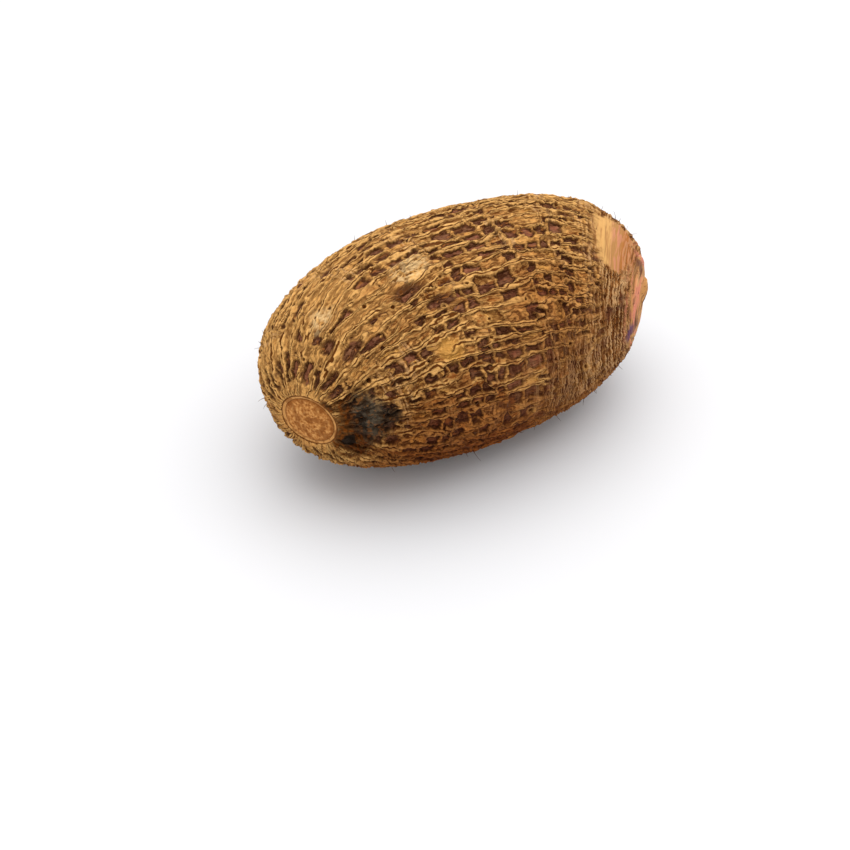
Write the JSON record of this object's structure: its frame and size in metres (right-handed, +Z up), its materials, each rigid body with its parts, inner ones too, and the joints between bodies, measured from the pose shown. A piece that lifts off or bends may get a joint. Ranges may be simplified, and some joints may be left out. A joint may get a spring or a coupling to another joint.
{
  "type": "taro corm (yam)",
  "caption": "Whole taro corm, sold as yam: a stout oval root with corky ridged skin, a round base scar and a blunt leaf-scarred crown, lying on its side.",
  "frame": {"origin": "on the surface that the corm rests on, under the middle of its bounding box", "axes": "+X along the corm from the base scar to the crown, +Z up"},
  "size_m": [0.1754, 0.102, 0.0907],
  "materials": {
    "corky_skin": "dry corky root skin, matt, with ochre ridges, dark flakes and cracks"
  },
  "bodies": {
    "root": {"corm": "corky_skin"}
  },
  "joints": []
}
